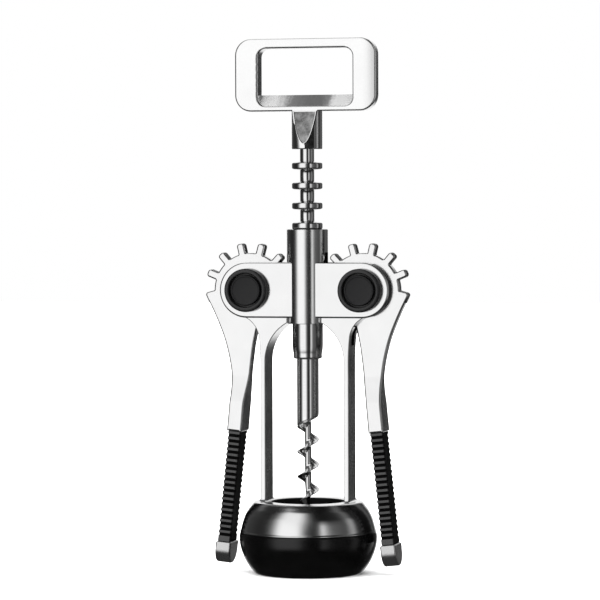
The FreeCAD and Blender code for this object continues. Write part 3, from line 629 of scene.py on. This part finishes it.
def build_worm():
    segs = 144
    zs = []
    z = 23.1
    while z < 59.5:
        zs.append(z)
        z += 0.11
    verts, faces, rows = [(-0.15, -0.1, 22.95)], [], []
    levels = [(None, z) for z in zs] + [(SHANK_R, z) for z in (59.5, 62.0, 66.0, 70.0, 75.1)] + \
             [(SHANK_R - 0.12, 75.4), (2.6, 75.4), (2.5, 75.5), (2.5, 87.6), (2.3, 87.8)]
    for r0, z in levels:
        rows.append(list(range(len(verts), len(verts) + segs)))
        for i in range(segs):
            a = 2 * math.pi * i / segs
            r = worm_radius(a, z) if r0 is None else r0
            verts.append((r * math.cos(a), r * math.sin(a), z))
    top = len(verts)
    verts.append((0, 0, 87.8))
    for i in range(segs):
        k = (i + 1) % segs
        faces.append((0, rows[0][k], rows[0][i]))
        faces.append((top, rows[-1][i], rows[-1][k]))
        for j in range(len(rows) - 1):
            faces.append((rows[j][i], rows[j][k], rows[j + 1][k], rows[j + 1][i]))
    ob = make_object("worm_screw", verts, faces)
    fix_normals(ob)
    return ob


worm = build_worm()
dress(worm, M_WORM, "screw", "worm", 50.0, False)

# ---------------------------------------------------------------- frame: yoke, bell, base ring, pivots
ex, er = 20.7, 9.7
k_ = er * math.sqrt(0.5)
cheek = path((-ex, 109.2), (-ex - k_, 99.5 + k_, -30.4, 99.5, 14), (-ex - k_, 99.5 - k_, -ex, 89.8, 14),
             (ex, 89.8), (ex + k_, 99.5 - k_, 30.4, 99.5, 14), (ex + k_, 99.5 + k_, ex, 109.2, 14))
yoke = plate("yoke_casting", [cheek], 5.9, rim_section(1.15))
leg = path((21.2, 93.0), (21.2, 89.9), (17.95, 87.1, 16.4, 83.5, 14), (16.05, 79.3, 15.9, 75.2, 10), (15.9, 25.5), (14.1, 25.5),
           (14.1, 74.8), (12.1, 82.15, 6.1, 88.1, 22), (6.1, 93.0))
combine(yoke, plate("leg_r", [leg], 5.4, rim_section(0.5)), "UNION")
combine(yoke, plate("leg_l", [flipped(leg)], 5.4, rim_section(0.5)), "UNION")


def foot(sx):
    """A short flare where a post meets the bell."""
    rings = []
    rad, n = 1.25, 8
    for k in range(n + 1):
        t = math.pi / 2 * k / n
        grow, z = rad * (1 - math.cos(t)), 25.36 + rad * (1 - math.sin(t))
        gi = grow * 0.5
        x0, x1, y1 = 14.1 - gi, 15.9 + grow, 5.4 + grow
        c = 0.36 + grow * 0.8
        rings.append((z, corners([(x1, -y1), (x1, y1), (x0, y1), (x0, -y1)], [c, c, min(c, 0.6), min(c, 0.6)], 6)))
    rings.insert(0, (27.6, rings[0][1]))
    verts, faces, ids = [], [], []
    for z, ring in rings:
        ids.append(list(range(len(verts), len(verts) + len(ring))))
        verts += [(x * sx, y, z) for x, y in ring]
    m = len(rings[0][1])
    for a, b in zip(ids, ids[1:]):
        faces += [(a[i], a[(i + 1) % m], b[(i + 1) % m], b[i]) for i in range(m)]
    faces += [tuple(ids[0]), tuple(reversed(ids[-1]))]
    ob = make_object("foot", verts, faces)
    fix_normals(ob)
    return ob


for sx in (1, -1):
    combine(yoke, foot(sx), "UNION")
barrel = lathe("barrel", [(0, 87.7), (6.95, 87.7), (7.12, 87.75), (7.22, 87.86), (7.25, 88.0), (7.25, 120.5), (7.22, 120.64),
                          (7.12, 120.75), (6.95, 120.8), (0, 120.8)], 192)
combine(yoke, barrel, "UNION")
combine(yoke, lathe("bore", [(0, 80.0), (5.75, 80.0), (5.75, 113.3), (6.25, 113.3), (6.25, 120.5), (6.35, 120.7), (6.5, 120.82),
                             (6.5, 122.0), (0, 122.0)], 128), "DIFFERENCE")
drop = 99.5 - math.sqrt(17.3 ** 2 - (20.35 - 15.0) ** 2)
mid = math.radians(216)
slot = path((3.05, 99.5), (20.35 + 17.3 * math.cos(mid), 99.5 + 17.3 * math.sin(mid), 15.0, drop, 16), (15.0, 80.1), (34.0, 80.1),
            (34.0, 112.7), (3.05, 112.7))
for lp in (slot, flipped(slot)):
    combine(yoke, plate("slot", [lp], 2.25, round_section(0.02, 1)), "DIFFERENCE")
for sx in (1, -1):
    hole = lathe("pivot_hole", [(0, -8), (3.02, -8), (3.02, 8), (0, 8)], 64)
    hole.data.transform(Matrix.Translation((20.35 * sx, 0, 99.5)) @ Matrix.Rotation(math.radians(90), 4, "X"))
    combine(yoke, hole, "DIFFERENCE")
tidy(yoke)
dress(yoke, (M_CAST, M_SLOT_SHADE, M_SIDE_SHADE), "frame", "yoke", 30.0)
# The side walls at the cheeks' rounded ends get painted shade.
mark(yoke, 2, lambda c, n, vs: abs(n.y) < 0.25 and 2.3 < abs(c.y) < 5.6 and 84.0 < c.z < 112.5 and abs(c.x) > 24.0)
# The walls of the gear slots and the barrel's bore get painted shade.
mark(yoke, 1, lambda c, n, vs: all(abs(v.y) < 2.27 for v in vs) and c.z > 80.0 and not (math.hypot(c.x, c.y) > 7.0 and c.z > 112.6)
     and abs(c.x) < 30.0)
mark(yoke, 1, lambda c, n, vs: math.hypot(c.x, c.y) < 6.3 and 82.0 < c.z < 120.0 and c.x * n.x + c.y * n.y < -0.5)

outer = spline([(17.9, 25.42), (18.6, 25.34), (19.15, 25.03), (19.62, 24.5), (20.2, 23.75), (20.8, 22.95), (21.3, 22.15), (21.72, 21.4),
                (22.06, 20.75), (22.38, 20.0), (22.8, 18.8), (23.2, 17.4), (23.5, 16.2), (23.68, 15.45)], 5)
prof = ([(12.7, 22.3), (12.7, 24.75), (12.8, 25.05), (13.05, 25.28), (13.5, 25.4), (16.5, 25.42)] + outer +
        [(23.76, 15.25), (23.87, 15.12), (23.96, 15.0), (23.98, 14.86), (23.95, 14.74), (23.84, 14.66), (23.6, 14.62), (21.0, 14.62),
         (20.0, 18.5), (18.2, 22.3)])
bell = lathe("bell_ring", prof, 256)
dress(bell, (M_BELL, M_BORE), "frame", "bell", 38.0)
mark(bell, 1, lambda c, n, vs: math.hypot(c.x, c.y) < 12.95 and c.z > 22.25)

outer = spline([(18.3, 0.0), (19.15, 0.42), (20.0, 1.5), (21.1, 3.0), (22.1, 4.7), (22.9, 6.5), (23.5, 8.2), (24.0, 10.2),
                (24.2, 12.0), (24.15, 13.6), (23.95, 14.35)], 8)
prof = ([(15.9, 0.0), (16.6, 0.0)] + outer + [(23.7, 14.6), (20.9, 14.6), (19.9, 18.5), (18.1, 22.2), (12.7, 22.2), (12.7, 15.3),
        (13.0, 15.0), (14.7, 15.0), (15.0, 14.7), (15.0, 1.1), (15.25, 0.45)])
ring = lathe("base_ring_moulding", prof, 256)
dress(ring, M_RING, "frame", "base_ring", 38.0)

bush = lathe("barrel_bush", [(5.45, 113.35), (6.2, 113.35), (6.2, 120.25), (6.05, 120.4), (5.7, 120.4), (5.45, 120.15)], 128)
dress(bush, M_BUSH, "guide", "guide_bush", 35.0)

flange_prof = [(3.05, 0.0), (7.35, 0.0), (7.55, 0.06), (7.6, 0.2), (7.6, 2.35)] + \
    spline([(7.6, 2.5), (7.52, 2.88), (7.27, 3.15), (6.85, 3.27)], 5) + \
    [(6.4, 3.3), (6.2, 3.27), (6.04, 3.16), (5.95, 2.98), (5.93, 2.75), (5.93, 1.0), (3.05, 1.0)]
cap_prof = [(3.05, 1.0), (5.34, 1.0), (5.34, 2.72), (5.3, 2.9), (5.18, 3.04), (5.0, 3.1)] + \
    spline([(4.82, 3.08), (4.45, 2.98), (3.0, 2.88), (1.5, 2.83)], 5) + [(0.0, 2.82), (0.0, 1.4), (3.05, 1.4)]
for side, sx in (("left", -1), ("right", 1)):
    for face, ysign in (("front", -1), ("back", 1)):
        turn = Matrix.Rotation(math.radians(90 if ysign < 0 else -90), 4, "X")
        at = Matrix.Translation((sx * 20.35, ysign * 5.9, 99.5))
        for part, pr, mat in (("flange", flange_prof, M_FLANGE), ("cap", cap_prof, M_CAP)):
            ob = lathe("%s_%s_%s_moulding" % (face, side, part), pr, 128)
            ob.data.transform(at @ turn)
            dress(ob, mat, "frame", "%s_%s_pivot_%s" % (face, side, part), 38.0)

# ---------------------------------------------------------------- wings
SLANT = math.radians(5.9)


def along(s, across):
    """A point s down the wing from the shank's end and across it outwards."""
    return (5.175 + math.sin(SLANT) * s + math.cos(SLANT) * across, -49.65 - math.cos(SLANT) * s + math.sin(SLANT) * across)


def lever_outline():
    """Gear sector with seven teeth, shoulder and wing; x is outwards from the pivot."""
    pts, radii = [], []

    def add(p, r=0.0):
        pts.append(p)
        radii.append(r)

    def disc(a0, a1):
        n = max(1, int(round(abs(a1 - a0) / 3.2)))
        for k in range(1, n):
            a = math.radians(a0 + (a1 - a0) * k / n)
            add((13.0 * math.cos(a), 13.0 * math.sin(a)))

    half, root, tip = 1.35, 13.0, 16.62
    edge = math.degrees(math.asin(half / root))
    add((13.0, -0.14), 0.3)
    last = 0.0
    for k in range(6, -1, -1):
        c = 187.99 - 27.692 * k
        disc(last, c - edge)
        a = math.radians(c)
        for r, t, rad in ((math.sqrt(root ** 2 - half ** 2), -half, 0.28), (tip, -half, 0.95), (tip, half, 0.95),
                          (math.sqrt(root ** 2 - half ** 2), half, 0.28)):
            add((math.cos(a) * r - math.sin(a) * t, math.sin(a) * r + math.cos(a) * t), rad)
        last = c + edge
    disc(last, 257.7)
    add((-2.776, -12.70), 0.4)
    for p in spline([(-2.35, -14.0), (-1.25, -19.2), (-0.55, -24.3), (0.36, -31.9), (1.53, -39.5), along(-1.0, -2.70)], 6)[:-1]:
        add(p)
    add(along(0, -2.70), 0.35)
    add(along(0, 2.70), 0.35)
    for p in spline([along(-1.0, 2.70), (6.95, -39.8), (6.66, -34.2), (6.97, -29.0), (7.98, -22.9), (9.9, -15.9), (13.1, -8.15),
                     (15.75, -2.75)], 6):
        add(p)
    for p in arc3((16.05, -2.15), (15.98, -1.2), (15.3, -0.76), 6):
        add(p)
    return corners(pts, radii, 4)


def wing_depth(z):
    """Half-thickness of the wing at a height above the pivot's level."""
    z -= 99.5
    t = min(1.0, max(0.0, (-29.0 - z) / (40.2 - 29.0)))
    e = 0.12
    if t < e:
        f = t * t / (2 * e * (1 - e))
    elif t > 1 - e:
        f = 1 - (1 - t) ** 2 / (2 * e * (1 - e))
    else:
        f = (t - e / 2) / (1 - e)
    return 2.0 + 3.4 * f


cuts = [99.5 - 29.0 - 11.2 * f for f in (0.0, 0.03, 0.06, 0.09, 0.12, 0.5, 0.88, 0.91, 0.94, 0.97, 1.0)]
lever_loop = lever_outline()
hub_hole = [(3.06 * math.cos(2 * math.pi * i / 64), 3.06 * math.sin(2 * math.pi * i / 64)) for i in range(64)]
RIB, GAP = 1.95, 0.78


def box(name, x0, x1, y0, y1, z0, z1):
    v = [(x, y, z) for x in (x0, x1) for y in (y0, y1) for z in (z0, z1)]
    f = [(0, 1, 3, 2), (4, 6, 7, 5), (0, 4, 5, 1), (2, 3, 7, 6), (0, 2, 6, 4), (1, 5, 7, 3)]
    ob = make_object(name, v, f)
    fix_normals(ob)
    return ob


def grip_outline():
    """Side view of a grip, y to the back and z up: ribs on the front and back faces."""
    right = [(3.95, 0.0, 0.0)]
    z = 0.0
    for k in range(20):
        lo = -(k + 1) * RIB + GAP if k < 19 else -39.3
        right += [(5.0, z, 0.26), (5.0, lo, 0.26)]
        if k < 19:
            right += [(3.95, lo, 0.14), (3.95, lo - GAP, 0.14)]
            z = lo - GAP
    right = right[1:]
    pts = [(y, z, r) for y, z, r in right] + [(-y, z, r) for y, z, r in reversed(right)]
    return corners([p[:2] for p in pts], [p[2] for p in pts], 3)


shoe_loop = path((5.5, -39.3, 0.35), (5.5, -41.8), (5.5 - 5.2 * (1 - math.sqrt(0.5)), -47.0 + 5.2 * (1 - math.sqrt(0.5)), 0.3, -47.0, 14),
                 (-0.3, -47.0), (-5.5 + 5.2 * (1 - math.sqrt(0.5)), -47.0 + 5.2 * (1 - math.sqrt(0.5)), -5.5, -41.8, 14), (-5.5, -39.3, 0.35))

for side, sx in (("left", -1), ("right", 1)):
    loop = lever_loop if sx > 0 else flipped(lever_loop)
    hole = hub_hole if sx > 0 else flipped(hub_hole)
    ob = plate(side + "_wing_casting", [moved(loop, 20.35 * sx, 99.5), moved(hole, 20.35 * sx, 99.5)], 5.4, rim_section(1.1),
               cuts=cuts, depth=wing_depth)
    frame_at = Matrix.Translation(((20.35 + 5.175) * sx, 0, 99.5 - 49.65)) @ Matrix.Rotation(-SLANT * sx, 4, "Y")
    tang = box("tang", -1.2, 1.2, -3.2, 3.2, -43.6, 3.0)
    tang.data.transform(frame_at)
    combine(ob, tang, "UNION")
    tidy(ob)
    dress(ob, (M_CAST, M_SIDE_SHADE), side + "_wing", side + "_lever", 30.0)
    # The side walls outside the gear's root circle, above z 95, get painted shade as a dark outline.
    mark(ob, 1, lambda c, n, vs: abs(n.y) < 0.3 and math.hypot(abs(c.x) - 20.35, c.z - 99.5) > 13.0 and c.z > 95.0)

    ob = plate(side + "_wing_grip", [grip_outline()], 4.45 / 2, round_section(0.3, 3), normal="X")
    combine(ob, box("slot", -1.25, 1.25, -3.25, 3.25, -41.0, 1.0), "DIFFERENCE")
    tidy(ob)
    ob.data.transform(frame_at)
    dress(ob, (M_GRIP, M_GAP_SHADE), side + "_wing", side + "_grip", 35.0)
    # The gap floors, the rib walls and the grip's sides take the darker copy, as painted shade.
    back_at = frame_at.inverted()
    turn_back = back_at.to_3x3()
    mark(ob, 1, lambda c, n, vs: abs((back_at @ c).x) > 2.2 or abs(c.y) < 4.6 or abs((turn_back @ n).z) > 0.7)

    ob = plate(side + "_wing_shoe", [shoe_loop], 5.5 / 2, round_section(0.6, 6), normal="X")
    combine(ob, box("slot", -1.25, 1.25, -3.25, 3.25, -43.9, -38.0), "DIFFERENCE")
    ob.data.transform(frame_at)
    tidy(ob)
    dress(ob, M_SHOE, side + "_wing", side + "_end_cap", 35.0)

for n in ("left_pivot_pin", "right_pivot_pin", "worm_pin"):
    for s in nodes[n].material_slots:
        s.material = M_PIN

# ---------------------------------------------------------------- stage, light, camera
bpy.ops.mesh.primitive_plane_add(size=6.0, location=(0, 0, 0))
floor = bpy.context.object
floor.name = "floor"
k = Mat("floor_paper", (0.93, 0.93, 0.93), 0.0, 0.7)
floor.data.materials.append(k.out(None, k.ramp(k.noise(k.coords(), 0.02, 2.0), [(0.3, (0.925,) * 3), (0.7, (0.94,) * 3)])))
floor.visible_glossy = False

world = bpy.data.worlds.new("studio")
scene.world = world
world.use_nodes = True
wt = world.node_tree
for n in list(wt.nodes):
    wt.nodes.remove(n)


def wn(kind, **props):
    n = wt.nodes.new(kind)
    for a, b in props.items():
        setattr(n, a, b)
    return n


def wmath(op, a, b=None, c=None):
    n = wn("ShaderNodeMath", operation=op)
    for i, x in enumerate((a, b, c)):
        if x is None:
            continue
        if isinstance(x, (int, float)):
            n.inputs[i].default_value = x
        else:
            wt.links.new(x, n.inputs[i])
    return n.outputs[0]


def wramp(x, stops):
    n = wn("ShaderNodeValToRGB")
    e = n.color_ramp.elements
    while len(e) > 1:
        e.remove(e[-1])
    e[0].position, e[0].color = stops[0][0], (stops[0][1],) * 3 + (1,)
    for p, c in stops[1:]:
        q = e.new(p)
        q.color = (c, c, c, 1)
    wt.links.new(x, n.inputs["Fac"])
    return n.outputs["Color"]


AZ = 13.9
tc = wn("ShaderNodeTexCoord")
sep = wn("ShaderNodeSeparateXYZ")
wt.links.new(tc.outputs["Generated"], sep.inputs[0])
sx, sy, sz = sep.outputs
az = wmath("ARCTAN2", sx, wmath("MULTIPLY", sy, -1.0))           # 0 towards the front, + to the right
azn = wmath("MULTIPLY_ADD", az, 1 / (2 * math.pi), 0.5)
el = wmath("ARCSINE", sz)
eln = wmath("MULTIPLY_ADD", el, 1 / math.pi, 0.5)


def wmix(f, a, b):
    n = wn("ShaderNodeMix", data_type="RGBA")
    wt.links.new(f, n.inputs[0])
    wt.links.new(a, n.inputs[6])
    wt.links.new(b, n.inputs[7])
    return n.outputs[2]


def band(stops):
    """Levels round the horizon: [(degrees from the camera's side, + to the right, level), ...]."""
    pts = sorted(((a + AZ) / 360.0 + 0.5, lev) for a, lev in stops if -180.001 <= a + AZ <= 180.001)
    if len(pts) < 30:
        return wramp(azn, pts)
    cut = len(pts) // 2
    return wmix(wmath("GREATER_THAN", azn, pts[cut][0]), wramp(azn, pts[:cut + 1]), wramp(azn, pts[cut:]))


low_band = band([
    (-193.9, 1.0), (-163, 1.0), (-157, 0.12), (-131, 0.05), (-100, 0.022), (-84, 0.022), (-76, 0.055), (-70, 0.16), (-63, 0.45), (-57, 0.98),
    (-51, 1.15), (-22, 1.15), (-17.5, 0.95), (-13.5, 0.66), (-8.7, 0.26), (-3, 0.09), (3, 0.035), (15, 0.02), (18, 0.06), (21, 0.40),
    (24.5, 0.84), (28, 0.80), (32, 0.50), (37, 0.24), (43, 0.13), (60, 0.09), (72, 0.07), (78, 0.24), (83, 0.42), (88, 0.36), (93, 0.10),
    (98, 0.01), (106, 0.02), (113, 0.09), (130, 0.10), (144, 0.09), (149, 0.03), (157, 0.03), (163, 0.9), (166.1, 1.0)])
mid_band = band([
    (-193.9, 0.95), (-150, 0.9), (-135, 0.3), (-118, 0.03), (-90, 0.015), (-76, 0.06), (-68, 0.35), (-60, 0.85), (-52, 1.05), (-22, 1.05),
    (-13, 0.78), (-8, 0.45), (0, 0.12), (8, 0.03), (15, 0.006), (40, 0.008), (66, 0.02), (76, 0.07), (84, 0.16), (90, 0.11), (97, 0.01),
    (125, 0.01), (140, 0.2), (158, 0.9), (166.1, 0.95)])
high_band = band([(-193.9, 0.95), (-140, 0.85), (-115, 0.2), (-90, 0.02), (-70, 0.005), (70, 0.005), (90, 0.02), (115, 0.2), (140, 0.85),
                  (166.1, 0.95)])
top_band = band([(-193.9, 0.02), (166.1, 0.02)])
under_band = band([(-193.9, 0.05), (-120, 0.015), (-60, 0.02), (-20, 0.02), (20, 0.012), (120, 0.012), (166.1, 0.05)])


def step(e0, e1):
    """0 below elevation e0, 1 above e1, in degrees."""
    n = wn("ShaderNodeMapRange", interpolation_type="SMOOTHSTEP")
    wt.links.new(el, n.inputs["Value"])
    n.inputs["From Min"].default_value = math.radians(e0)
    n.inputs["From Max"].default_value = math.radians(e1)
    return n.outputs["Result"]


floor_band = band([(-193.9, 0.045), (166.1, 0.045)])
sky = wmix(step(-49, -36), floor_band, under_band)
sky = wmix(step(-30, -14), sky, low_band)
sky = wmix(step(24, 38), sky, mid_band)
sky = wmix(step(57, 66), sky, high_band)
sky = wmix(step(72, 77), sky, top_band)
bg_env = wn("ShaderNodeBackground")
wt.links.new(sky, bg_env.inputs["Color"])
bg_env.inputs["Strength"].default_value = 1.0
bg_cam = wn("ShaderNodeBackground")
bg_cam.inputs["Color"].default_value = (1, 1, 1, 1)
bg_cam.inputs["Strength"].default_value = 1.0
lp = wn("ShaderNodeLightPath")
ms = wn("ShaderNodeMixShader")
wo = wn("ShaderNodeOutputWorld")
wt.links.new(lp.outputs["Is Camera Ray"], ms.inputs[0])
wt.links.new(bg_env.outputs[0], ms.inputs[1])
wt.links.new(bg_cam.outputs[0], ms.inputs[2])
wt.links.new(ms.outputs[0], wo.inputs[0])


sun_data = bpy.data.lights.new("overhead_light", "SUN")
sun_data.energy = 8.5
sun_data.angle = math.radians(140)
sun = bpy.data.objects.new("overhead_light", sun_data)
scene.collection.objects.link(sun)
sun.rotation_euler = (math.radians(14), math.radians(-10), 0)
sun.visible_glossy = False

S, F = 2.85, 3200.0
dist = F / S
a, e, roll = math.radians(AZ), math.radians(1.7), math.radians(-0.2)
back = Vector((math.sin(a) * math.cos(e), -math.cos(a) * math.cos(e), math.sin(e)))
right = Vector((math.cos(a), math.sin(a), 0))
up = back.cross(right)
r2 = math.cos(roll) * right + math.sin(roll) * up
u2 = -math.sin(roll) * right + math.cos(roll) * up
centre = Vector((0, 0, (573.5 - 300) / 2.85)) + back * dist - r2 * (307.6 - 300) / S
cam_data = bpy.data.cameras.new("camera")
cam_data.sensor_width = 36.0
cam_data.lens = F * 36.0 / 600.0
cam_data.clip_start = 0.05
cam_data.clip_end = 20.0
cam = bpy.data.objects.new("camera", cam_data)
scene.collection.objects.link(cam)
cam.matrix_world = Matrix((
    (r2.x, u2.x, back.x, centre.x * MM),
    (r2.y, u2.y, back.y, centre.y * MM),
    (r2.z, u2.z, back.z, centre.z * MM),
    (0, 0, 0, 1)))
scene.camera = cam
scene.view_settings.view_transform = "Standard"
scene.view_settings.look = "None"
